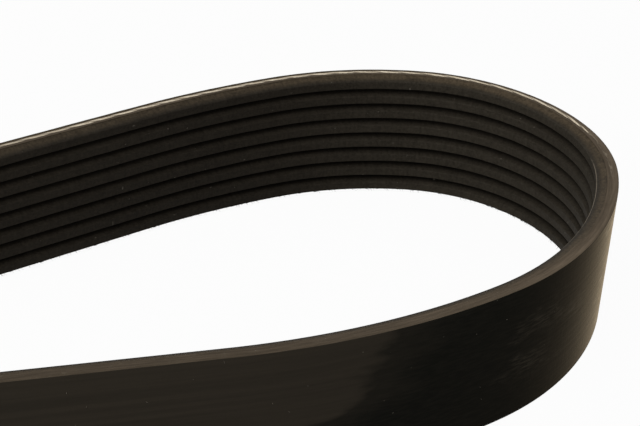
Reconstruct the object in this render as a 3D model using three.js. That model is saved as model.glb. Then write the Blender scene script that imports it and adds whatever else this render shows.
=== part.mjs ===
// A multi-rib serpentine belt, lying on its edge as a free loop. Millimetres, +Z up.
// +X runs along the loop's long axis, and Z = 0 is the belt's lower cut edge.

import * as THREE from 'three';

// Belt section
const ribCount = 8;
const ribPitch = 3.56; // from one rib to the next
const ribTipWidth = 1.64; // flat ground on the top of a rib
const grooveFlat = 0.4; // flat left at the bottom of a groove
const flankLean = 20; // degrees that a rib's side leans from square to the back
const beltThickness = 4.4; // from the back to the rib tips

// The loop's resting shape: a bulb at each end, and runs that close in to a waist.
// Radii are measured on the back of the belt.
const runTaper = 21.2; // degrees between the two runs that leave a bulb
const waistRadius = 250; // reverse bend at the waist
const waistClear = 15; // open space between the rib tips at the waist
const farEaseRadius = 188; // first bend after the far run
const farEaseTurn = 10; // degrees
const farShoulderRadius = 68;
const farShoulderTurn = 27.5; // degrees
const crownRadius = 39.2; // tightest bend, which turns whatever the other bends leave
const nearShoulderRadius = 68;
const nearShoulderTurn = 47; // degrees
const nearEaseRadius = 145; // last bend before the near run
const nearEaseTurn = 22.5; // degrees
const facetSag = 0.06; // how far a flat facet may cut inside a bend

const rubber = { color: 0x1b1a18, roughness: 0.82, metalness: 0 };

const radians = THREE.MathUtils.degToRad;
const halfTurn = 180;

// The section as (depth from the back, height) points, up the ribbed side and down the back.
function sectionOutline() {
  const beltWidth = ribCount * ribPitch;
  const flankWidth = (ribPitch - ribTipWidth - grooveFlat) / 2;
  const bodyDepth = beltThickness - flankWidth / Math.tan(radians(flankLean));
  const outline = [new THREE.Vector2(0, 0), new THREE.Vector2(bodyDepth, 0)];
  for (let rib = 0; rib < ribCount; rib++) {
    const middle = (rib + 0.5) * ribPitch;
    const tip = ribTipWidth / 2;
    const root = tip + flankWidth;
    outline.push(
      new THREE.Vector2(bodyDepth, middle - root),
      new THREE.Vector2(beltThickness, middle - tip),
      new THREE.Vector2(beltThickness, middle + tip),
      new THREE.Vector2(bodyDepth, middle + root),
    );
  }
  outline.push(new THREE.Vector2(bodyDepth, beltWidth), new THREE.Vector2(0, beltWidth));
  return outline;
}

// A walker that moves along the belt's back and leaves a station at the end of each facet.
// Headings turn to the right, towards the inside of the loop, for positive turns.
class RouteWalker {
  constructor(x, y) {
    this.place = new THREE.Vector2(x, y);
    this.heading = 0;
    this.stations = [];
  }

  inward() {
    return new THREE.Vector2(Math.sin(this.heading), -Math.cos(this.heading));
  }

  leaveStation() {
    this.stations.push({ place: this.place.clone(), inward: this.inward() });
  }

  goStraight(length) {
    this.place.x += length * Math.cos(this.heading);
    this.place.y += length * Math.sin(this.heading);
    this.leaveStation();
  }

  bend(radius, turn) {
    const facetTurn = 2 * Math.acos(1 - facetSag / radius);
    const facets = Math.ceil(Math.abs(radians(turn)) / facetTurn);
    const side = Math.sign(turn);
    const centre = this.place.clone().addScaledVector(this.inward(), side * radius);
    for (let facet = 0; facet < facets; facet++) {
      this.heading -= radians(turn) / facets;
      this.place.copy(centre).addScaledVector(this.inward(), -side * radius);
      this.leaveStation();
    }
  }
}

// One half of the loop, from the far run's waist round a bulb to the near run's waist.
function walkHalf(start, farStraight, nearStraight) {
  const walker = new RouteWalker(start.x, start.y);
  const otherTurns = farEaseTurn + farShoulderTurn + nearShoulderTurn + nearEaseTurn;
  walker.bend(waistRadius, -runTaper / 2);
  walker.goStraight(farStraight);
  walker.bend(farEaseRadius, farEaseTurn);
  walker.bend(farShoulderRadius, farShoulderTurn);
  walker.bend(crownRadius, halfTurn + runTaper - otherTurns);
  walker.bend(nearShoulderRadius, nearShoulderTurn);
  walker.bend(nearEaseRadius, nearEaseTurn);
  walker.goStraight(nearStraight);
  walker.bend(waistRadius, -runTaper / 2);
  return walker;
}

// The straights are as long as it takes for the half to end across the waist from its start.
function routeStations() {
  const waistStart = new THREE.Vector2(0, waistClear / 2 + beltThickness);
  const drift = walkHalf(waistStart, 0, 0).place;
  const lean = radians(runTaper / 2);
  const straightSum = -(waistStart.y + drift.y) / Math.sin(lean);
  const straightDifference = -(waistStart.x + drift.x) / Math.cos(lean);
  const farStraight = (straightSum + straightDifference) / 2;
  const half = walkHalf(waistStart, farStraight, straightSum - farStraight).stations;
  const otherHalf = half.map(({ place, inward }) => ({
    place: place.clone().negate(),
    inward: inward.clone().negate(),
  }));
  return [...half, ...otherHalf];
}

// The belt is cured as a round ring, and each section of that ring is then set on its station.
function ribbedBelt() {
  const outline = sectionOutline();
  const stations = routeStations();
  const ringRadius = 2 * beltThickness;
  const profile = outline.map((spot) => new THREE.Vector2(ringRadius - spot.x, spot.y));
  profile.push(profile[0].clone());
  const geometry = new THREE.LatheGeometry(profile, stations.length);
  const position = geometry.attributes.position;
  for (let vertex = 0; vertex < position.count; vertex++) {
    const { place, inward } = stations[Math.floor(vertex / profile.length) % stations.length];
    const spot = outline[(vertex % profile.length) % outline.length];
    const bent = place.clone().addScaledVector(inward, spot.x);
    position.setXYZ(vertex, bent.x, bent.y, spot.y);
  }
  geometry.computeVertexNormals();
  const material = new THREE.MeshStandardMaterial({ ...rubber, flatShading: true });
  const mesh = new THREE.Mesh(geometry, material);
  mesh.name = 'ribbed_belt';
  return mesh;
}

const belt = new THREE.Group();
belt.add(ribbedBelt());

export default belt;
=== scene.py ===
import bisect
import math
import random

import bmesh
import bpy
from mathutils import Euler, Matrix, Vector, noise


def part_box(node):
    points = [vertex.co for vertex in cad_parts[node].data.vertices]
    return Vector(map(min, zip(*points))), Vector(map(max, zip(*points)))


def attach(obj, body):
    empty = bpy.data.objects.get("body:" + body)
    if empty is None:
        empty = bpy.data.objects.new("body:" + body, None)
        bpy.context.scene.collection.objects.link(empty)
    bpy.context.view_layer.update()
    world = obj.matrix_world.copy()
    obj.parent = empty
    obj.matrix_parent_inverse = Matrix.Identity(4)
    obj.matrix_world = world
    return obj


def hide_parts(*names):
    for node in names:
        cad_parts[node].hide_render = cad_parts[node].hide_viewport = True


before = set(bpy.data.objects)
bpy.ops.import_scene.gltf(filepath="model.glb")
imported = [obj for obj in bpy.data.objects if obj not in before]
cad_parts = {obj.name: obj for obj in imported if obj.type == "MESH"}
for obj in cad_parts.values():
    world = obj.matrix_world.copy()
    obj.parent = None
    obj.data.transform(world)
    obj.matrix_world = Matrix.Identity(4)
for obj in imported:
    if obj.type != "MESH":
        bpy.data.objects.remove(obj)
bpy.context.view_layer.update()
lowCorner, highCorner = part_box("ribbed_belt")

mm = 0.001
scene = bpy.context.scene

# The loop as it lies: the belt's back, walked clockwise from the far run's waist
loopShape = {
    "runTaper": 21.2,             # degrees between the two runs of a bulb
    "waistRadius": 250 * mm,
    "waistClear": 15 * mm,        # between the rib tips at the waist
    "farBends": [(188 * mm, 10), (68 * mm, 27.5)],      # radius on the back, degrees
    "crownRadius": 39.2 * mm,
    "nearBends": [(68 * mm, 47), (145 * mm, 22.5)],
    "beltStep": 2.0 * mm,         # between two sections of the visible belt
    "cordStep": 0.65 * mm,
}

# The belt's section
beltSection = {
    "ribCount": 8,
    "ribPitch": 3.56 * mm,
    "tipWidth": 1.64 * mm,
    "grooveFlat": 0.4 * mm,
    "flankLean": 20,              # degrees
    "thickness": 4.4 * mm,
    "tipRounding": 0.09 * mm,
    "rootRounding": 0.16 * mm,
    "cutEdgeRounding": 0.08 * mm,
    "backRounding": 0.10 * mm,
    "cutFaceStrips": 5,
    "backBorder": 0.15 * mm,      # strips along the back's edges, which keep its shading flat
    "tipBorder": 0.15 * mm,       # the same along the ribs' tips
}
beltWidth = highCorner.z - lowCorner.z
thickness = beltSection["thickness"]
flankWidth = (beltSection["ribPitch"] - beltSection["tipWidth"] - beltSection["grooveFlat"]) / 2
bodyDepth = thickness - flankWidth / math.tan(math.radians(beltSection["flankLean"]))
firstTipEdge = (beltSection["ribPitch"] - beltSection["tipWidth"]) / 2     # from a cut edge


def inwardAt(heading):
    return Vector((math.sin(heading), -math.cos(heading), 0))


def bendSteps(place, heading, radius, turn, stepLength):
    # the same small turn again and again; positive turns go towards the inside of the loop
    angle = math.radians(turn)
    centre = place + inwardAt(heading) * math.copysign(radius, angle)
    count = max(2, math.ceil(abs(angle) * radius / stepLength))
    away, back = Matrix.Translation(centre), Matrix.Translation(-centre)
    step = away @ Matrix.Rotation(-angle / count, 4, "Z") @ back
    whole = away @ Matrix.Rotation(-angle, 4, "Z") @ back
    return [step] * count, whole @ place, heading - angle


def straightSteps(place, heading, length, stepLength):
    count = max(1, math.ceil(length / stepLength))
    along = Vector((math.cos(heading), math.sin(heading), 0)) * length
    return [Matrix.Translation(along / count)] * count, place + along, heading


def halfSteps(start, farStraight, nearStraight, stepLength, startHeading=0.0):
    # from one waist, round a bulb, to the other waist
    lean = loopShape["runTaper"] / 2
    given = sum(turn for _, turn in loopShape["farBends"] + loopShape["nearBends"])
    crown = (loopShape["crownRadius"], 180 + loopShape["runTaper"] - given)
    waist = (loopShape["waistRadius"], -lean)
    moves = [waist, farStraight, *loopShape["farBends"], crown, *loopShape["nearBends"], nearStraight, waist]
    steps, place, heading = [], start, startHeading
    for move in moves:
        if isinstance(move, tuple):
            more, place, heading = bendSteps(place, heading, *move, stepLength)
            steps += more
        elif move > 0:
            more, place, heading = straightSteps(place, heading, move, stepLength)
            steps += more
    return steps, place


def layRoute(stepLength):
    # the straights' lengths follow from where the bends alone would end
    start = Vector((0, loopShape["waistClear"] / 2 + thickness, 0))
    lean = math.radians(loopShape["runTaper"] / 2)
    _, drift = halfSteps(start, 0, 0, stepLength)
    total = -(start.y + drift.y) / math.sin(lean)
    farStraight = (total - (start.x + drift.x) / math.cos(lean)) / 2
    steps, _ = halfSteps(start, farStraight, total - farStraight, stepLength)
    steps += halfSteps(-start, farStraight, total - farStraight, stepLength, math.pi)[0]
    # matrices that take (depth, along, height) to the row frame
    frames = [Matrix(((0, 1, 0, start.x), (-1, 0, 0, start.y), (0, 0, 1, 0), (0, 0, 0, 1)))]
    distances = [0.0]
    for step in steps:
        frames.append(step @ frames[-1])
        distances.append(distances[-1] + (frames[-1].translation - frames[-2].translation).length)
    return {"steps": steps, "frames": frames, "distances": distances}


beltRoute = layRoute(loopShape["beltStep"])
cordRoute = layRoute(loopShape["cordStep"])
loopLength = beltRoute["distances"][-1]
ringRadius = loopLength / (2 * math.pi)
print("route: length on the back", round(loopLength, 4), "sections", len(beltRoute["steps"]))


def ringSpot(distance):
    # the same place on the round ring that the belt was cured as
    angle = distance / ringRadius
    return (ringRadius * math.cos(angle), ringRadius * math.sin(angle), 0)


def nearestStation(route, distance):
    return min(range(len(route["steps"])), key=lambda index: abs(route["distances"][index] - distance))


# Nodes

def addNode(tree, kind, settings=None, inputs=None):
    node = tree.nodes.new(kind)
    for name, value in (settings or {}).items():
        setattr(node, name, value)
    for name, value in (inputs or {}).items():
        socket = node.inputs[name]
        if isinstance(value, bpy.types.NodeSocket):
            tree.links.new(value, socket)
        else:
            socket.default_value = value
    return node


def mathNode(tree, operation, first, second=0.5):
    return addNode(tree, "ShaderNodeMath", {"operation": operation}, {0: first, 1: second}).outputs[0]


def combine(tree, operation, values):
    result = values[0]
    for value in values[1:]:
        result = mathNode(tree, operation, result, value)
    return result


def times(tree, *values):
    return combine(tree, "MULTIPLY", values)


def plus(tree, *values):
    return combine(tree, "ADD", values)


def highest(tree, *values):
    return combine(tree, "MAXIMUM", values)


def minus(tree, first, second):
    return mathNode(tree, "SUBTRACT", first, second)


def distanceFrom(tree, value, centre):
    return mathNode(tree, "ABSOLUTE", minus(tree, value, centre))


def ramp(tree, value, low, high, toLow=0.0, toHigh=1.0):
    # smooth step of a value from one level to another
    return addNode(tree, "ShaderNodeMapRange", {"interpolation_type": "SMOOTHSTEP"},
                   {"Value": value, "From Min": low, "From Max": high,
                    "To Min": toLow, "To Max": toHigh}).outputs[0]


def mixColour(tree, share, first, second):
    node = addNode(tree, "ShaderNodeMix", {"data_type": "RGBA"})
    for index, value in ((0, share), (6, first), (7, second)):
        if isinstance(value, bpy.types.NodeSocket):
            tree.links.new(value, node.inputs[index])
        else:
            node.inputs[index].default_value = value
    return node.outputs[2]


def scaleColour(tree, colour, factor):
    return addNode(tree, "ShaderNodeVectorMath", {"operation": "SCALE"},
                   {0: colour, "Scale": factor}).outputs[0]


def newGroup(name, inputs, outputs):
    group = bpy.data.node_groups.new(name, "ShaderNodeTree")
    for label, kind, default in inputs:
        socket = group.interface.new_socket(label, in_out="INPUT", socket_type=kind)
        socket.default_value = default
    for label, kind in outputs:
        group.interface.new_socket(label, in_out="OUTPUT", socket_type=kind)
    return group, group.nodes.new("NodeGroupInput"), group.nodes.new("NodeGroupOutput")


def readAttribute(tree, name, output="Vector"):
    return addNode(tree, "ShaderNodeAttribute", {"attribute_name": name}).outputs[output]


def makeRunNoise():
    # noise that runs with the belt: its own scale along the loop, and another across and into it
    group, given, result = newGroup(
        "runNoise",
        [("Along", "NodeSocketFloat", 100.0), ("Across", "NodeSocketFloat", 1000.0),
         ("Detail", "NodeSocketFloat", 3.0), ("Rough", "NodeSocketFloat", 0.5),
         ("Low", "NodeSocketFloat", 0.3), ("High", "NodeSocketFloat", 0.7)],
        [("Value", "NodeSocketFloat")])
    parts = addNode(group, "ShaderNodeSeparateXYZ", inputs={0: readAttribute(group, "sectionPlace")})
    scaled = scaleColour(group, readAttribute(group, "ringPlace"), given.outputs["Along"])
    height = times(group, parts.outputs["Y"], given.outputs["Across"])
    depth = times(group, parts.outputs["X"], given.outputs["Across"])
    lifted = addNode(group, "ShaderNodeCombineXYZ", inputs={"Z": height}).outputs[0]
    place = addNode(group, "ShaderNodeVectorMath", {"operation": "ADD"}, {0: scaled, 1: lifted}).outputs[0]
    cloud = addNode(group, "ShaderNodeTexNoise", {"noise_dimensions": "4D"},
                    {"Vector": place, "W": depth, "Scale": 1.0,
                     "Detail": given.outputs["Detail"], "Roughness": given.outputs["Rough"]}).outputs[0]
    level = ramp(group, cloud, given.outputs["Low"], given.outputs["High"])
    group.links.new(level, result.inputs["Value"])
    return group


def makeStretch():
    # 1 along one stretch of the belt, fading to 0 past its ends; Shift moves the ends inwards
    group, given, result = newGroup(
        "stretch",
        [("Middle", "NodeSocketVector", (0, 0, 0)), ("Half", "NodeSocketFloat", 0.1),
         ("Fade", "NodeSocketFloat", 0.02), ("Shift", "NodeSocketFloat", 0.0)],
        [("Value", "NodeSocketFloat")])
    away = addNode(group, "ShaderNodeVectorMath", {"operation": "DISTANCE"},
                   {0: readAttribute(group, "ringPlace"), 1: given.outputs["Middle"]}).outputs["Value"]
    away = plus(group, away, given.outputs["Shift"])
    end = plus(group, given.outputs["Half"], given.outputs["Fade"])
    level = ramp(group, away, given.outputs["Half"], end, 1.0, 0.0)
    group.links.new(level, result.inputs["Value"])
    return group


runNoiseGroup = makeRunNoise()
stretchGroup = makeStretch()


def runNoise(tree, along, across, low, high, detail=3.0, rough=0.5):
    # along and across are in cycles per metre
    node = addNode(tree, "ShaderNodeGroup", {"node_tree": runNoiseGroup})
    values = {"Along": along, "Across": across, "Low": low, "High": high, "Detail": detail, "Rough": rough}
    for name, value in values.items():
        node.inputs[name].default_value = value
    return node.outputs["Value"]


def stretch(tree, start, end, fade, shift=0.0):
    # start and end are distances along the back, in metres
    middle = (start + end) / 2
    half = 2 * ringRadius * math.sin((end - start) / (4 * ringRadius))
    return addNode(tree, "ShaderNodeGroup", {"node_tree": stretchGroup},
                   {"Middle": ringSpot(middle), "Half": half, "Fade": fade, "Shift": shift}).outputs[0]


def newMaterial(name, shaderValues):
    material = bpy.data.materials.new(name)
    material.use_nodes = True
    tree = material.node_tree
    shader = tree.nodes["Principled BSDF"]
    for socket, value in shaderValues.items():
        shader.inputs[socket].default_value = value
    return material, tree, shader


def sectionParts(tree):
    parts = addNode(tree, "ShaderNodeSeparateXYZ", inputs={0: readAttribute(tree, "sectionPlace")})
    return parts.outputs["X"], parts.outputs["Y"]


def linkBump(tree, shader, height, distance):
    bump = addNode(tree, "ShaderNodeBump", inputs={"Height": height, "Distance": distance})
    tree.links.new(bump.outputs[0], shader.inputs["Normal"])


# The looks of the belt's three surfaces and of the cord.
# A pattern is a noise: cycles per metre along and across the belt, low and high level, detail, roughness.
# A stretch is where it starts and ends along the back, and the fade past its ends, all in metres.

ribLook = {
    "shader": {"Roughness": 0.62, "Specular IOR Level": 0.06, "Specular Tint": (1, 0.90, 0.76, 1)},
    "tipColour": (0.0130, 0.0108, 0.0080, 1),
    "dustyTipColour": (0.0212, 0.0180, 0.0134, 1),
    "flankColour": (0.0163, 0.0135, 0.0099, 1),
    # painted shade at the root of a groove, where the ribs shade each other
    "grooveShadeColour": (0.0100, 0.0084, 0.0064, 1),
    "topFlankColour": (0.0460, 0.0348, 0.0222, 1),
    "speckColour": (0.0900, 0.0800, 0.0650, 1),
    # pale corner colour: rubbing and a painted highlight
    "cornerHighlightColour": (0.1500, 0.1250, 0.0950, 1),
    "shadedRoot": (0.28 * mm, 1.50 * mm),      # where the shade in a groove begins to clear, and ends
    "tipFade": (0.75 * mm, 0.03 * mm),         # how far under a tip its colour begins, and is full
    "topDustFade": (0.92 * mm, 0.42 * mm),     # the same under the upper cut edge, for the brown dust
    "topDustPattern": (160, 900, 0.05, 0.55, 4.0, 0.6),
    "lessTopDust": (-0.2, 0.19, 0.08),         # stretch that has less of that dust
    "lessTopDustShare": 0.35,
    "dustyBend": (0.290, 0.380, 0.045),        # stretch whose ribs carry more dust
    "dustyBendLevel": 0.10,
    "baseLevel": 0.42,                         # brightness before the patterns add theirs
    "patches": (28, 90, 0.25, 0.75, 3.0),
    "patchLevel": 0.26,
    "grindMarks": (1500, 320, 0.25, 0.75, 3.0, 0.6),
    "grindLevel": 0.36,
    "fineGrain": (2000, 2000, 0.3, 0.7, 3.0, 0.6),
    "fineLevel": 0.60,
    "specks": (1050, 1050, 0.73, 0.78, 2.0),
    "cornerFade": (0.17 * mm, 0.05 * mm),      # how far from the corner the pale rubbing and painted highlight begin, and are full
    "cornerDepth": (0.20 * mm, 0.06 * mm),     # the same under the tip
    "cornerStretch": (0.349, 0.372, 0.016),
    "cornerPattern": (240, 300, 0.25, 0.55, 3.0),
    "bumpGrain": (2500, 5000, 0.2, 0.8, 2.0),
    "bumpHeight": 0.02 * mm,
}


def makeRibMaterial():
    look = ribLook
    material, tree, shader = newMaterial("groundRibs", look["shader"])
    depth, height = sectionParts(tree)
    # painted shade: the flank's colour is darker towards the groove's root, where the ribs shade each other
    shadeStart, shadeEnd = look["shadedRoot"]
    clear = ramp(tree, depth, bodyDepth + shadeStart, bodyDepth + shadeEnd)
    colour = mixColour(tree, clear, look["grooveShadeColour"], look["flankColour"])
    tipStart, tipFull = look["tipFade"]
    tips = ramp(tree, depth, thickness - tipStart, thickness - tipFull)
    dustyBend = stretch(tree, *look["dustyBend"])
    tipColour = mixColour(tree, dustyBend, look["tipColour"], look["dustyTipColour"])
    colour = mixColour(tree, tips, colour, tipColour)
    # the uppermost flank is brown like the cut face beside it, and fades down over the first tip
    dustStart, dustFull = look["topDustFade"]
    topDust = ramp(tree, height, beltWidth - dustStart, beltWidth - dustFull)
    less = times(tree, stretch(tree, *look["lessTopDust"]), look["lessTopDustShare"])
    topDust = times(tree, topDust, minus(tree, 1.0, less), runNoise(tree, *look["topDustPattern"]))
    colour = mixColour(tree, topDust, colour, look["topFlankColour"])
    # broad patches, and the fine marks that the grinding wheel leaves across the ribs
    grindMarks = runNoise(tree, *look["grindMarks"])
    level = plus(tree,
                 times(tree, runNoise(tree, *look["patches"]), look["patchLevel"]),
                 times(tree, grindMarks, look["grindLevel"]),
                 times(tree, runNoise(tree, *look["fineGrain"]), look["fineLevel"]),
                 times(tree, dustyBend, look["dustyBendLevel"]),
                 look["baseLevel"])
    colour = scaleColour(tree, colour, level)
    colour = mixColour(tree, runNoise(tree, *look["specks"]), colour, look["speckColour"])
    # the first tip's upper corner is pale round the crown of the bend: partly rubbing, partly a painted
    # highlight where the corner catches grazing light
    cornerPaleStart, cornerPaleFull = look["cornerDepth"]
    fromCorner = distanceFrom(tree, height, beltWidth - firstTipEdge)
    corner = times(tree, ramp(tree, fromCorner, *look["cornerFade"]),
                   ramp(tree, depth, thickness - cornerPaleStart, thickness - cornerPaleFull),
                   stretch(tree, *look["cornerStretch"]),
                   runNoise(tree, *look["cornerPattern"]))
    colour = mixColour(tree, corner, colour, look["cornerHighlightColour"])
    tree.links.new(colour, shader.inputs["Base Color"])
    linkBump(tree, shader, plus(tree, runNoise(tree, *look["bumpGrain"]), grindMarks), look["bumpHeight"])
    return material


backLook = {
    "shader": {"Specular IOR Level": 0.0, "Sheen Weight": 0.98, "Sheen Roughness": 0.235,
               "Sheen Tint": (1, 0.80, 0.54, 1)},
    "cleanColour": (0.0050, 0.0053, 0.0046, 1),
    "dustColour": (0.0260, 0.0216, 0.0162, 1),
    "scuffColour": (0.0320, 0.0275, 0.0210, 1),
    "speckColour": (0.0900, 0.0830, 0.0650, 1),
    # colour of the painted highlight along the rim at the crown
    "rimHighlightColour": (0.4600, 0.4000, 0.2800, 1),
    "streaks": (16, 1100, 0.30, 0.72, 5.0, 0.65),
    "nearDust": (0.4345, 0.700, 0.008),        # stretch of the near run's brown dust
    "thinDust": (0.428, 0.700, 0.014),         # a thinner film that reaches a little further
    "thinDustShare": 0.30,
    "waistDust": (0.600, 0.760, 0.120),        # lets the near run's dust fade out past the waist
    "cloudyDust": (0.80, 1.33, 0.08),
    "cloudyPattern": (30, 90, 0.2, 0.7, 4.0),
    "dustStreaks": 0.25,                       # how much the dust varies with the streaks
    "edgeWander": 0.014,                       # metres; how far the dust's edge wanders
    "edgePattern": (45, 160, 0.2, 0.8, 3.0),
    "wipeCurve": 35,                           # per metre; how fast that edge moves along on its way down
    "hairlines": (330, 2600, 0.38, 0.66, 3.0, 0.6),
    "hairlineShare": 0.10,
    "scuffPattern": (75, 170, 0.38, 0.60, 4.0, 0.6),
    "scuffStretch": (0.384, 0.396, 0.016),
    "scuffMiddle": 0.55,                       # height, as a share of the belt's width
    "scuffFade": (11 * mm, 3 * mm),            # how far from that height they begin, and are full
    "scuffShare": 0.9,
    "specks": (900, 900, 0.745, 0.79, 2.0),
    # painted highlight along the rim at the crown: its pattern, stretch and share
    "rimHighlightPattern": (130, 1100, 0.55, 0.66, 3.0, 0.6),
    "rimHighlightStretch": (0.356, 0.366, 0.005),
    "rimHighlightShare": 0.60,
    "roughness": 0.30,
    "dustRoughness": 0.25,                     # added where there is dust
    "streakRoughness": 0.06,
    "bumpGrain": (1600, 500, 0.2, 0.8, 3.0),
    "bumpGrainShare": 0.6,
    "bumpHeight": 0.012 * mm,
}


def makeBackMaterial():
    look = backLook
    material, tree, shader = newMaterial("smoothBack", look["shader"])
    _, height = sectionParts(tree)
    streaks = runNoise(tree, *look["streaks"])
    # brown dust on the near run; its edge slants, because it has been wiped
    wander = times(tree, minus(tree, runNoise(tree, *look["edgePattern"]), 0.5), look["edgeWander"])
    drop = minus(tree, beltWidth, height)
    slanting = plus(tree, wander, times(tree, drop, drop, look["wipeCurve"]))
    dust = highest(tree,
                   stretch(tree, *look["nearDust"], slanting),
                   times(tree, stretch(tree, *look["thinDust"], slanting), look["thinDustShare"]),
                   stretch(tree, *look["waistDust"]),
                   times(tree, stretch(tree, *look["cloudyDust"]), runNoise(tree, *look["cloudyPattern"])))
    dustLevel = plus(tree, times(tree, streaks, look["dustStreaks"]), 1 - look["dustStreaks"])
    colour = mixColour(tree, times(tree, dust, dustLevel), look["cleanColour"], look["dustColour"])
    # pale scuffs that follow the run, and hairlines all over
    hairlines = runNoise(tree, *look["hairlines"])
    fromMiddle = distanceFrom(tree, height, look["scuffMiddle"] * beltWidth)
    scuffs = times(tree, runNoise(tree, *look["scuffPattern"]), hairlines,
                   stretch(tree, *look["scuffStretch"]),
                   ramp(tree, fromMiddle, *look["scuffFade"]), look["scuffShare"])
    scuffs = highest(tree, scuffs, times(tree, hairlines, look["hairlineShare"]))
    colour = mixColour(tree, scuffs, colour, look["scuffColour"])
    colour = mixColour(tree, runNoise(tree, *look["specks"]), colour, look["speckColour"])
    # painted highlight: fine pale streaks where the back turns away round the bend, for the cream glint along
    # that rim
    paintedRimHighlight = times(tree, stretch(tree, *look["rimHighlightStretch"]), runNoise(tree, *look["rimHighlightPattern"]),
                  look["rimHighlightShare"])
    colour = mixColour(tree, paintedRimHighlight, colour, look["rimHighlightColour"])
    tree.links.new(colour, shader.inputs["Base Color"])
    roughness = plus(tree, times(tree, dust, look["dustRoughness"]), look["roughness"],
                     times(tree, streaks, look["streakRoughness"]))
    tree.links.new(roughness, shader.inputs["Roughness"])
    grain = times(tree, runNoise(tree, *look["bumpGrain"]), look["bumpGrainShare"])
    linkBump(tree, shader, plus(tree, grain, streaks), look["bumpHeight"])
    return material


cutLook = {
    "shader": {"Roughness": 0.9, "Specular IOR Level": 0.06, "Specular Tint": (1, 0.88, 0.70, 1)},
    "colour": (0.0840, 0.0650, 0.0460, 1),
    "darkColour": (0.0520, 0.0405, 0.0285, 1),
    "paleColour": (0.1400, 0.1180, 0.0860, 1),
    "backLayerColour": (0.0480, 0.0370, 0.0215, 1),
    "cordColour": (0.4200, 0.3600, 0.2700, 1),
    "fibres": (160, 2600, 0.3, 0.72, 4.0, 0.6),
    "baseLevel": 0.86,                         # brightness before the patterns add theirs
    "patches": (45, 100, 0.25, 0.75, 3.0),
    "patchLevel": 0.34,
    "dustyBend": (0.320, 0.390, 0.035),        # stretch that is dustier, most of all towards the back
    "dustyBendLevel": 0.46,
    "dustyBendDepth": (1.9 * mm, 0.7 * mm),    # from the back, where that dust is least, and is full
    "dustyBendLeast": 0.25,
    "cleaner": (0.490, 0.720, 0.04),           # stretch that is darker, towards the near run's waist
    "cleanerLevel": -0.22,
    "flecks": (700, 5200, 0.62, 0.74, 2.0),
    "fleckShare": 0.6,
    "backLayer": 0.60 * mm,                    # how thick the darker layer under the back is
    "layerWander": 0.14 * mm,
    "layerPattern": (220, 200, 0.2, 0.8),
    "layerFade": (0.05 * mm, -0.09 * mm),
    "hiddenLayer": (0.310, 0.700, 0.05),       # stretch where dust hides the layer
    "hiddenLayerShare": 0.90,
    "cordDepth": 1.30 * mm,                    # the bare cord's depth from the back
    "traceFade": (0.45 * mm, 0.10 * mm),       # how far from the cord's middle its traces begin, and are full
    "traceStretch": (0.331, 0.344, 0.007),
    "tracePattern": (500, 1800, 0.46, 0.62, 3.0),
    "traceShare": 0.25,
    "bumpHeight": 0.05 * mm,
}


def makeCutMaterial():
    look = cutLook
    material, tree, shader = newMaterial("cutEdge", look["shader"])
    depth, _ = sectionParts(tree)
    fibres = runNoise(tree, *look["fibres"])
    colour = mixColour(tree, fibres, look["darkColour"], look["colour"])
    dustyBend = times(tree, ramp(tree, depth, *look["dustyBendDepth"], look["dustyBendLeast"], 1.0),
                      stretch(tree, *look["dustyBend"]), look["dustyBendLevel"])
    level = plus(tree,
                 times(tree, runNoise(tree, *look["patches"]), look["patchLevel"]),
                 look["baseLevel"],
                 dustyBend,
                 times(tree, stretch(tree, *look["cleaner"]), look["cleanerLevel"]))
    colour = scaleColour(tree, colour, level)
    flecks = runNoise(tree, *look["flecks"])
    colour = mixColour(tree, times(tree, flecks, look["fleckShare"]), colour, look["paleColour"])
    layerEdge = plus(tree, look["backLayer"],
                     times(tree, runNoise(tree, *look["layerPattern"]), look["layerWander"]))
    backLayer = ramp(tree, minus(tree, depth, layerEdge), *look["layerFade"])
    hidden = times(tree, stretch(tree, *look["hiddenLayer"]), look["hiddenLayerShare"])
    backLayer = times(tree, backLayer, minus(tree, 1.0, hidden))
    colour = mixColour(tree, backLayer, colour, look["backLayerColour"])
    # cut ends of the cord's filaments show past the place where the cord dives in
    traces = times(tree, ramp(tree, distanceFrom(tree, depth, look["cordDepth"]), *look["traceFade"]),
                   look["traceShare"], stretch(tree, *look["traceStretch"]),
                   runNoise(tree, *look["tracePattern"]))
    colour = mixColour(tree, traces, colour, look["cordColour"])
    tree.links.new(colour, shader.inputs["Base Color"])
    linkBump(tree, shader, plus(tree, fibres, flecks), look["bumpHeight"])
    return material


cordLook = {
    "shader": {"Roughness": 0.85, "Specular IOR Level": 0.25},
    "darkColour": (0.42, 0.35, 0.25, 1),
    "paleColour": (0.66, 0.58, 0.45, 1),
    "grimeColour": (0.20, 0.16, 0.11, 1),
    # painted shade between the plies
    "plyShadeColour": (0.09, 0.07, 0.05, 1),
    "filaments": (900, 4000, 0.3, 0.7, 2.0),
    "grime": (90, 300, 0.5, 0.8, 3.0),
    "grimeShare": 0.7,
    "plyShadeFade": (0.35, 0.95),                # how deep between two plies the dark begins, and is full
    "bumpHeight": 0.04 * mm,
}


def makeCordMaterial():
    look = cordLook
    material, tree, shader = newMaterial("bareCord", look["shader"])
    filaments = runNoise(tree, *look["filaments"])
    colour = mixColour(tree, filaments, look["darkColour"], look["paleColour"])
    grime = times(tree, runNoise(tree, *look["grime"]), look["grimeShare"])
    colour = mixColour(tree, grime, colour, look["grimeColour"])
    # painted shade in the valleys between the plies
    valley = ramp(tree, readAttribute(tree, "plyValley", "Fac"), *look["plyShadeFade"])
    colour = mixColour(tree, valley, colour, look["plyShadeColour"])
    tree.links.new(colour, shader.inputs["Base Color"])
    linkBump(tree, shader, filaments, look["bumpHeight"])
    return material


ribMaterial = makeRibMaterial()
backMaterial = makeBackMaterial()
cutMaterial = makeCutMaterial()
cordMaterial = makeCordMaterial()
print("materials made")


# The belt

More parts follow.
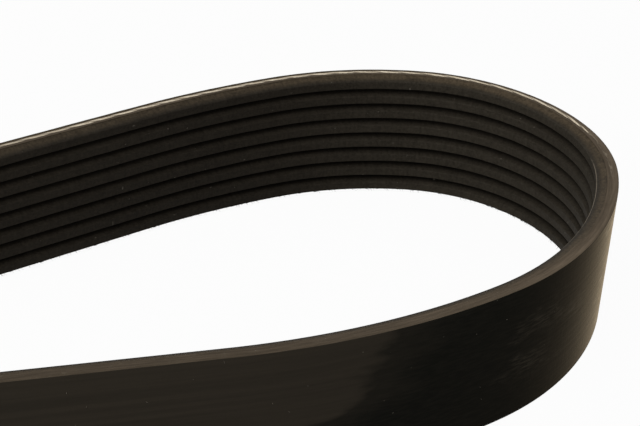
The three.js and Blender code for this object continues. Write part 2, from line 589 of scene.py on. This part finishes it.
def beltOutline():
    # corners of the section as (depth, height), with the rounding that each one gets
    s = beltSection
    strips = s["cutFaceStrips"]
    corners = [(0, 0, s["backRounding"])]
    corners += [(bodyDepth * strip / strips, 0, 0) for strip in range(1, strips)]
    corners.append((bodyDepth, 0, s["cutEdgeRounding"]))
    for rib in range(s["ribCount"]):
        middle = (rib + 0.5) * s["ribPitch"]
        tip = s["tipWidth"] / 2
        root = tip + flankWidth
        corners += [(bodyDepth, middle - root, s["rootRounding"]),
                    (thickness, middle - tip, s["tipRounding"]),
                    (thickness, middle - tip + s["tipBorder"], 0),
                    (thickness, middle + tip - s["tipBorder"], 0),
                    (thickness, middle + tip, s["tipRounding"]),
                    (bodyDepth, middle + root, s["rootRounding"])]
    corners.append((bodyDepth, beltWidth, s["cutEdgeRounding"]))
    corners += [(bodyDepth * strip / strips, beltWidth, 0) for strip in range(strips - 1, 0, -1)]
    corners += [(0, beltWidth, s["backRounding"]), (0, beltWidth - s["backBorder"], 0),
                (0, s["backBorder"], 0)]
    return corners


def firstSection(bm):
    # an outline face whose corners are rounded, of which only the edges are kept
    corners = beltOutline()
    verts = [bm.verts.new((depth, 0, height)) for depth, height, _ in corners]
    bm.faces.new(verts)
    for rounding in sorted({corner[2] for corner in corners if corner[2] > 0}):
        chosen = [vert for vert, corner in zip(verts, corners) if corner[2] == rounding]
        bmesh.ops.bevel(bm, geom=chosen, offset=rounding, offset_type="OFFSET", affect="VERTICES",
                        segments=2, profile=0.5, material=-1)
    bmesh.ops.delete(bm, geom=bm.faces[:], context="FACES_ONLY")
    return list(bm.edges)


def sweep(bm, edges, route, first, last, core=None, spin=0.0):
    # extrudes the section from one place on the route to the next, and notes where each vertex is;
    # with a core, the section also spins round it
    ringLayer = bm.verts.layers.float_vector.new("ringPlace")
    sectionLayer = bm.verts.layers.float_vector.new("sectionPlace")
    verts = list({vert for edge in edges for vert in edge.verts})
    for vert in verts:
        vert[sectionLayer] = (vert.co.x, vert.co.z, 0)
        vert[ringLayer] = ringSpot(route["distances"][first])
    bmesh.ops.transform(bm, matrix=route["frames"][first], verts=verts)
    firstEdges = edges
    for index in range(first, last):
        made = bmesh.ops.extrude_edge_only(bm, edges=edges)["geom"]
        verts = [item for item in made if isinstance(item, bmesh.types.BMVert)]
        moved = set(verts)
        edges = [item for item in made if isinstance(item, bmesh.types.BMEdge)
                 and item.verts[0] in moved and item.verts[1] in moved]
        for vert in verts:
            vert[ringLayer] = ringSpot(route["distances"][index + 1])
        matrix = route["steps"][index]
        if core is not None:
            here = route["frames"][index + 1]
            centre = here @ core
            twist = Matrix.Rotation(spin, 4, here.col[1].to_3d())
            matrix = Matrix.Translation(centre) @ twist @ Matrix.Translation(-centre) @ matrix
        bmesh.ops.transform(bm, matrix=matrix, verts=verts)
    return firstEdges, edges


def addBatch(whole, batch):
    # pieces grow in small batches, because an operator slows down as its mesh grows
    mesh = bpy.data.meshes.new("batch")
    batch.to_mesh(mesh)
    batch.free()
    whole.from_mesh(mesh)
    bpy.data.meshes.remove(mesh)


def makeObject(name, bm, materials):
    bmesh.ops.recalc_face_normals(bm, faces=bm.faces[:])
    for face in bm.faces:
        face.smooth = True
    mesh = bpy.data.meshes.new(name)
    bm.to_mesh(mesh)
    bm.free()
    piece = bpy.data.objects.new(name, mesh)
    scene.collection.objects.link(piece)
    for material in materials:
        mesh.materials.append(material)
    return piece


beltWear = {
    "edgeRaggedness": 0.06 * mm,   # how far the cut edges wander
    "edgeDepth": 1.2 * mm,         # how far in from an edge the wandering reaches
    "ribWaver": 0.03 * mm,         # how far a ground rib's corners wander
    "tipDepth": 0.3 * mm,          # how far under a tip that reaches
    # cycles per metre along, into and up the belt, and a shift
    "edgePattern": (180, 900, 40, 0),
    "fineEdgePattern": (420, 2500, 90, 7),
    "ribPattern": (240, 0, 3000, 0),
}


def wornNoise(pattern, ring, depth, height):
    along, into, up, shift = pattern
    return noise.noise(ring * along + Vector((0, 0, depth * into + height * up + shift)))


def wearBelt(bm):
    # lets the cut edges and the rib corners wander a little, as a knife and a grinding wheel leave them
    ringLayer = bm.verts.layers.float_vector["ringPlace"]
    sectionLayer = bm.verts.layers.float_vector["sectionPlace"]
    wear = beltWear
    for vert in bm.verts:
        ring = Vector(vert[ringLayer])
        depth, height, _ = vert[sectionLayer]
        edgeNear = min(height, beltWidth - height)
        towardsMiddle = 1 if height < beltWidth / 2 else -1
        if edgeNear < wear["edgeDepth"]:
            broad = wornNoise(wear["edgePattern"], ring, depth, height)
            fine = wornNoise(wear["fineEdgePattern"], ring, depth, height)
            rise = (abs(broad) + abs(fine)) / 2
            share = 1 - edgeNear / wear["edgeDepth"]
            vert.co.z += towardsMiddle * rise * share * wear["edgeRaggedness"]
        elif depth > thickness - wear["tipDepth"]:
            vert.co.z += wornNoise(wear["ribPattern"], ring, depth, height) * wear["ribWaver"]


beltMesh = {
    "batch": 40,                   # sections that are extruded at a time
    "mergeDistance": 0.002 * mm,
    "backReach": 0.3 * beltSection["backRounding"],    # faces this near the back get its material
    "cutReach": 0.04 * mm,         # the same for the cut edges
}


def makeBelt():
    bm = bmesh.new()
    count = len(beltRoute["steps"])
    for first in range(0, count, beltMesh["batch"]):
        batch = bmesh.new()
        sweep(batch, firstSection(batch), beltRoute, first, min(first + beltMesh["batch"], count))
        addBatch(bm, batch)
    bmesh.ops.remove_doubles(bm, verts=bm.verts[:], dist=beltMesh["mergeDistance"])
    wearBelt(bm)
    backSlot, cutSlot = 1, 2       # places in the belt's list of materials
    sectionLayer = bm.verts.layers.float_vector["sectionPlace"]
    for face in bm.faces:
        depth = sum(vert[sectionLayer][0] for vert in face.verts) / len(face.verts)
        height = sum(vert[sectionLayer][1] for vert in face.verts) / len(face.verts)
        edgeNear = min(height, beltWidth - height)
        if depth < beltMesh["backReach"]:
            face.material_index = backSlot
        elif edgeNear < beltMesh["cutReach"] and depth < bodyDepth:
            face.material_index = cutSlot
    belt = makeObject("rubber_belt", bm, [ribMaterial, backMaterial, cutMaterial])
    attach(belt, "root")
    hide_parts("ribbed_belt")
    return belt


beltPiece = makeBelt()
print("belt made", len(beltPiece.data.polygons), "faces")


# The tension cord that the knife laid bare along the upper cut edge

bareCord = {
    "start": 0.020,              # metres along the back
    "end": 0.336,
    "segments": 18,
    "diameter": 0.92 * mm,
    "depth": 1.30 * mm,          # its middle, from the belt's back
    "proud": 0.16 * mm,          # how far it stands out of the cut face
    "sunk": 0.55 * mm,           # how deep it dives at its ends
    "diveLength": 14 * mm,
    "plies": 3,
    "plyRelief": 0.17,           # how deep the valleys between the plies are, as a share of the radius
    "layLength": 16 * mm,        # one full twist
    "waver": 0.05 * mm,          # how far it wanders up and down
    "waverScale": 150,           # cycles per metre
}


def makeCord():
    c = bareCord
    first = nearestStation(cordRoute, c["start"])
    last = nearestStation(cordRoute, c["end"])
    core = Vector((c["depth"], 0, beltWidth + c["proud"] - c["diameter"] / 2))
    bm = bmesh.new()
    bmesh.ops.create_circle(bm, cap_ends=False, segments=c["segments"], radius=c["diameter"] / 2)
    valleyLayer = bm.verts.layers.float.new("plyValley")
    for vert in bm.verts:
        angle = math.atan2(vert.co.y, vert.co.x)
        valley = 1 - abs(math.cos(angle * c["plies"] / 2))
        vert[valleyLayer] = valley
        vert.co *= 1 - c["plyRelief"] * valley
    bmesh.ops.rotate(bm, verts=bm.verts[:], matrix=Matrix.Rotation(math.pi / 2, 3, "X"))
    bmesh.ops.translate(bm, verts=bm.verts[:], vec=core)
    spin = 2 * math.pi * loopShape["cordStep"] / c["layLength"]
    startEdges, endEdges = sweep(bm, list(bm.edges), cordRoute, first, last, core=core, spin=spin)
    ringLayer = bm.verts.layers.float_vector["ringPlace"]
    for vert in bm.verts:
        ring = Vector(vert[ringLayer])
        along = math.atan2(ring.y, ring.x) % (2 * math.pi) * ringRadius
        fromEnd = min(along - c["start"], c["end"] - along)
        sinking = max(0.0, 1 - fromEnd / c["diveLength"])
        vert.co.z -= c["sunk"] * sinking ** 2
        vert.co.z += c["waver"] * noise.noise(ring * c["waverScale"])
    bmesh.ops.holes_fill(bm, edges=startEdges + endEdges, sides=0)
    cord = makeObject("bare_cord", bm, [cordMaterial])
    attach(cord, "root")
    return cord


cordPiece = makeCord()
print("cord made", len(cordPiece.data.polygons), "faces")


# Torn crumbs and fibres along the lowest rib's outer corner, and lint that the belt has picked up

edgeFray = {
    "crumbSpacing": 2.6 * mm,
    "crumbLength": (0.3 * mm, 1.2 * mm),
    "crumbThickness": (0.08 * mm, 0.20 * mm),
    "crumbSink": 0.06 * mm,       # how far under the tip a crumb may lie
    "crumbTilt": 12,              # degrees either way, up and down
    "crumbTurn": 15,              # degrees either way, into and out of the rib
    "hairSpacing": 0.9 * mm,
    "hairLength": (0.25 * mm, 0.75 * mm),
    "hairThickness": (0.03 * mm, 0.06 * mm),
    "hairSink": 0.03 * mm,
    "hairTilt": (0, 60),          # degrees downwards
    "hairTurn": (10, 80),         # degrees away from the back
    "darkColour": (0.008, 0.0068, 0.0052, 1),
    "paleColour": (0.018, 0.0150, 0.0115, 1),
    "seed": 7,
}

lint = {
    # metres along the back, millimetres up, millimetres long, degrees from the run
    "onRibs": [(0.2485, 25.8, 1.0, 85), (0.2525, 26.3, 0.3, 20), (0.2140, 28.0, 1.2, 3),
               (0.2125, 9.7, 0.3, 40), (0.2080, 22.8, 0.3, 0), (0.2265, 22.8, 0.35, 70),
               (0.2115, 23.0, 0.3, 10), (0.2415, 12.0, 0.35, 30), (0.2395, 5.5, 0.3, 80),
               (0.2745, 20.3, 0.3, 0), (0.2715, 19.8, 0.35, 50), (0.1915, 6.1, 0.35, 20),
               (0.2085, 4.6, 0.9, 88), (0.2540, 1.0, 0.6, 10), (0.2240, 2.6, 0.8, 5)],
    "onBack": [(0.4610, 27.5, 0.6, 75), (0.4880, 24.8, 0.35, 80), (0.4740, 21.3, 0.3, 20),
               (0.4520, 17.8, 0.3, 60), (0.4485, 15.5, 0.4, 35), (0.4665, 24.8, 0.3, 50),
               (0.4040, 23.0, 0.3, 15), (0.4115, 22.3, 0.3, 0), (0.4085, 9.8, 0.3, 30),
               (0.4080, 6.8, 0.35, 60), (0.3900, 19.0, 0.3, 40)],
    "thickness": 0.11 * mm,
    "lift": 0.03 * mm,            # off the rubber
    # more specks are scattered where the photo doesn't reach
    "scattered": 70,
    "scatterStart": 0.47,         # metres along the back
    "scatterPast": 0.17,          # metres past the whole loop, round to the far run again
    "scatterMargin": 1.2,         # millimetres from the cut edges
    "scatterLength": (0.25, 0.8),     # millimetres
    "darkColour": (0.06, 0.053, 0.042, 1),
    "paleColour": (0.20, 0.18, 0.145, 1),
    "seed": 5,
}

scrapLook = {
    "shader": {"Roughness": 0.95, "Specular IOR Level": 0.05},
    "cloudScale": 900.0,          # cycles per metre
    "cloudDetail": 2.0,
    "cloudFade": (0.35, 0.65),
    "bumpHeight": 0.03 * mm,
    "tipShare": 0.25,             # a sliver's thickness at its tip, as a share of that at its root
    "batch": 60,                  # slivers that are made at a time
}


def makeScrapMaterial(name, darkColour, paleColour):
    look = scrapLook
    material, tree, shader = newMaterial(name, look["shader"])
    place = addNode(tree, "ShaderNodeTexCoord").outputs["Object"]
    cloud = addNode(tree, "ShaderNodeTexNoise", inputs={
        "Vector": place, "Scale": look["cloudScale"], "Detail": look["cloudDetail"]}).outputs[0]
    colour = mixColour(tree, ramp(tree, cloud, *look["cloudFade"]), darkColour, paleColour)
    tree.links.new(colour, shader.inputs["Base Color"])
    linkBump(tree, shader, cloud, look["bumpHeight"])
    return material


def routeFrame(distance):
    index = bisect.bisect_left(cordRoute["distances"], distance % loopLength)
    return cordRoute["frames"][index]


def addSliver(bm, distance, depth, height, length, thickness, lean):
    # a tapering three-sided splinter, its root at a place in the section; unleaned it follows the run
    root = thickness / 2
    verts = bmesh.ops.create_cone(bm, cap_ends=True, segments=3, radius1=root,
                                  radius2=root * scrapLook["tipShare"], depth=length)["verts"]
    bmesh.ops.translate(bm, verts=verts, vec=(0, 0, length / 2))
    alongRun = Matrix.Rotation(-math.pi / 2, 4, "X")
    leaned = Euler(lean).to_matrix().to_4x4() @ alongRun
    place = Matrix.Translation((depth, 0, height))
    bmesh.ops.transform(bm, matrix=routeFrame(distance) @ place @ leaned, verts=verts)


def makeScraps(name, spots, material):
    bm = bmesh.new()
    for first in range(0, len(spots), scrapLook["batch"]):
        batch = bmesh.new()
        for spot in spots[first:first + scrapLook["batch"]]:
            addSliver(batch, *spot)
        addBatch(bm, batch)
    piece = makeObject(name, bm, [material])
    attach(piece, "root")


def makeFray():
    # a crumb lies nearly along the corner, a hair points away from it
    f = edgeFray
    dice = random.Random(f["seed"])
    spots = []
    for _ in range(int(loopLength / f["crumbSpacing"])):
        lean = (math.radians(dice.uniform(-f["crumbTilt"], f["crumbTilt"])), 0,
                math.radians(dice.uniform(-f["crumbTurn"], f["crumbTurn"])))
        spots.append((dice.uniform(0, loopLength), thickness - dice.uniform(0, f["crumbSink"]), firstTipEdge,
                      dice.uniform(*f["crumbLength"]), dice.uniform(*f["crumbThickness"]), lean))
    for _ in range(int(loopLength / f["hairSpacing"])):
        lean = (-math.radians(dice.uniform(*f["hairTilt"])), 0, -math.radians(dice.uniform(*f["hairTurn"])))
        spots.append((dice.uniform(0, loopLength), thickness - f["hairSink"], firstTipEdge,
                      dice.uniform(*f["hairLength"]), dice.uniform(*f["hairThickness"]), lean))
    material = makeScrapMaterial("tornRubber", f["darkColour"], f["paleColour"])
    makeScraps("edge_fray", spots, material)


def ribSurface(height):
    # how deep the ribbed side is at a height
    pitch = beltSection["ribPitch"]
    fromTip = abs(height % pitch - pitch / 2) - beltSection["tipWidth"] / 2
    onFlank = thickness - max(0.0, fromTip) / math.tan(math.radians(beltSection["flankLean"]))
    return max(bodyDepth, onFlank)


def makeLint():
    dice = random.Random(lint["seed"])
    found = [(*spot, 1) for spot in lint["onRibs"]] + [(*spot, -1) for spot in lint["onBack"]]
    margin = lint["scatterMargin"]
    for _ in range(lint["scattered"]):
        found.append((dice.uniform(lint["scatterStart"], loopLength + lint["scatterPast"]),
                      dice.uniform(margin, beltWidth / mm - margin),
                      dice.uniform(*lint["scatterLength"]), dice.uniform(0, 180), dice.choice((1, -1))))
    spots = []
    for distance, height, length, lean, side in found:
        depth = ribSurface(height * mm) + lint["lift"] if side > 0 else -lint["lift"]
        spots.append((distance, depth, height * mm, length * mm, lint["thickness"],
                      (math.radians(lean), 0, 0)))
    material = makeScrapMaterial("paleLint", lint["darkColour"], lint["paleColour"])
    makeScraps("surface_lint", spots, material)


makeFray()
makeLint()
print("fray and lint made")


# The studio

studio = {
    "floorColour": (0.55, 0.55, 0.55, 1),
    "floorRoughness": 0.9,
    "floorHalf": 6,               # metres from its middle to a side
    "floorWhite": 0.96,           # share of the floor's look that is plain white
    "worldLevel": 0.55,
    "lampPlace": Vector((-0.46, -0.385, 0.79)),
    "lampAim": Vector((0.2, 0, 0)),
    "lampSize": 0.8,
    "lampPower": 9.1,
}


def backgroundRays(tree):
    # 1 for rays from the camera and from gloss and glass, which all see the white background
    rays = addNode(tree, "ShaderNodeLightPath").outputs
    return highest(tree, rays["Is Glossy Ray"], rays["Is Transmission Ray"], rays["Is Camera Ray"])


def makeFloor():
    bm = bmesh.new()
    bmesh.ops.create_grid(bm, x_segments=1, y_segments=1, size=studio["floorHalf"])
    material, tree, shader = newMaterial("paleFloor", {
        "Base Color": studio["floorColour"], "Roughness": studio["floorRoughness"],
        "Specular IOR Level": 0.0})
    white = addNode(tree, "ShaderNodeEmission", inputs={"Color": (1, 1, 1, 1), "Strength": 1.0})
    share = times(tree, backgroundRays(tree), studio["floorWhite"])
    mix = addNode(tree, "ShaderNodeMixShader", inputs={0: share, 1: shader.outputs[0], 2: white.outputs[0]})
    tree.links.new(mix.outputs[0], tree.nodes["Material Output"].inputs["Surface"])
    floor = makeObject("studio_floor", bm, [material])


def makeWorld():
    world = bpy.data.worlds.new("studioWorld")
    scene.world = world
    world.use_nodes = True
    tree = world.node_tree
    tree.nodes.clear()
    level = addNode(tree, "ShaderNodeMapRange", inputs={
        "Value": backgroundRays(tree), "To Min": studio["worldLevel"], "To Max": 1.0}).outputs[0]
    sky = addNode(tree, "ShaderNodeBackground", inputs={"Color": (1, 1, 1, 1), "Strength": level})
    out = addNode(tree, "ShaderNodeOutputWorld")
    tree.links.new(sky.outputs[0], out.inputs["Surface"])


def makeSideLamp():
    lamp = bpy.data.lights.new("sideLamp", "AREA")
    lamp.shape = "SQUARE"
    lamp.size = studio["lampSize"]
    lamp.energy = studio["lampPower"]
    holder = bpy.data.objects.new("sideLamp", lamp)
    holder.location = studio["lampPlace"]
    aim = studio["lampAim"] - studio["lampPlace"]
    holder.rotation_euler = aim.to_track_quat("-Z", "Y").to_euler()
    scene.collection.objects.link(holder)


# The photograph's camera, from a fit to the belt's edges
photoView = {
    "place": Vector((70.59, -287.21, 212.35)) * mm,
    "aim": Vector((241.95, 16.45, 14.24)) * mm,
    "roll": 4.609,                # degrees
    "lens": 110.12,               # millimetres
    "sensorWidth": 36,            # millimetres
}


def makeCamera():
    view = photoView
    data = bpy.data.cameras.new("photoCamera")
    data.lens = view["lens"]
    data.sensor_width = view["sensorWidth"]
    camera = bpy.data.objects.new("photoCamera", data)
    look = (view["aim"] - view["place"]).to_track_quat("-Z", "Y").to_matrix().to_4x4()
    roll = Matrix.Rotation(math.radians(view["roll"]), 4, "Z")
    camera.matrix_world = Matrix.Translation(view["place"]) @ look @ roll
    scene.collection.objects.link(camera)
    scene.camera = camera


makeFloor()
makeWorld()
makeSideLamp()
makeCamera()
scene.view_settings.view_transform = "Standard"
print("studio made")
